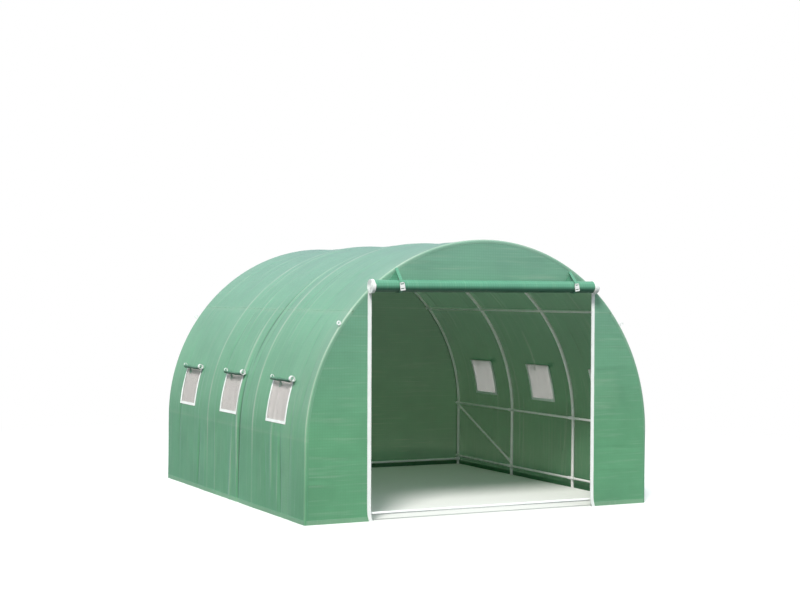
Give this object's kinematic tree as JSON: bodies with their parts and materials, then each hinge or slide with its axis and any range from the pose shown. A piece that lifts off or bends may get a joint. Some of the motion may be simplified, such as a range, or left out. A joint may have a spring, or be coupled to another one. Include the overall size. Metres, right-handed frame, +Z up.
{
  "type": "polytunnel greenhouse",
  "caption": "Walk-in polytunnel greenhouse: tube hoops and purlins under a green reinforced sheet cover, with mesh side windows and a rolled-up front door.",
  "frame": {"origin": "on the ground, in the middle of the whole footprint, with the rolled door in front counted in", "axes": "+Y into the tunnel from the doorway, +X to the right seen from the doorway's front, +Z up"},
  "size_m": [3, 3.1046, 2.075],
  "materials": {
    "green_sheet": "satin reinforced sheet",
    "galvanised_tube": "galvanised",
    "white_tape": "satin",
    "window_net": "matt",
    "white_plastic": "matt"
  },
  "bodies": {
    "root": {"left_side_cover": "green_sheet", "right_side_cover": "green_sheet", "roof_cover": "green_sheet", "back_cover": "green_sheet", "front_left_panel": "green_sheet", "front_right_panel": "green_sheet", "front_gable": "green_sheet", "door_roll": "green_sheet", "left_window_rolls": "green_sheet", "right_window_rolls": "green_sheet", "door_straps": "green_sheet", "hoop_1_arch": "galvanised_tube", "hoop_2_arch": "galvanised_tube", "hoop_3_arch": "galvanised_tube", "hoop_4_arch": "galvanised_tube", "left_legs": "galvanised_tube", "right_legs": "galvanised_tube", "ridge_purlin": "galvanised_tube", "left_upper_purlin": "galvanised_tube", "right_upper_purlin": "galvanised_tube", "left_lower_purlin": "galvanised_tube", "right_lower_purlin": "galvanised_tube", "left_base_rail": "galvanised_tube", "right_base_rail": "galvanised_tube", "front_base_rail": "galvanised_tube", "back_base_rail": "galvanised_tube", "left_brace": "galvanised_tube", "right_brace": "galvanised_tube", "left_door_zip": "white_tape", "right_door_zip": "white_tape", "door_sill_tape": "white_tape", "door_roll_end_tapes": "white_tape", "left_window_tapes": "white_tape", "right_window_tapes": "white_tape", "front_left_eyelet": "white_tape", "front_right_eyelet": "white_tape", "back_left_eyelet": "white_tape", "back_right_eyelet": "white_tape", "left_window_nets": "window_net", "right_window_nets": "window_net", "strap_buckles": "white_plastic"}
  },
  "joints": []
}
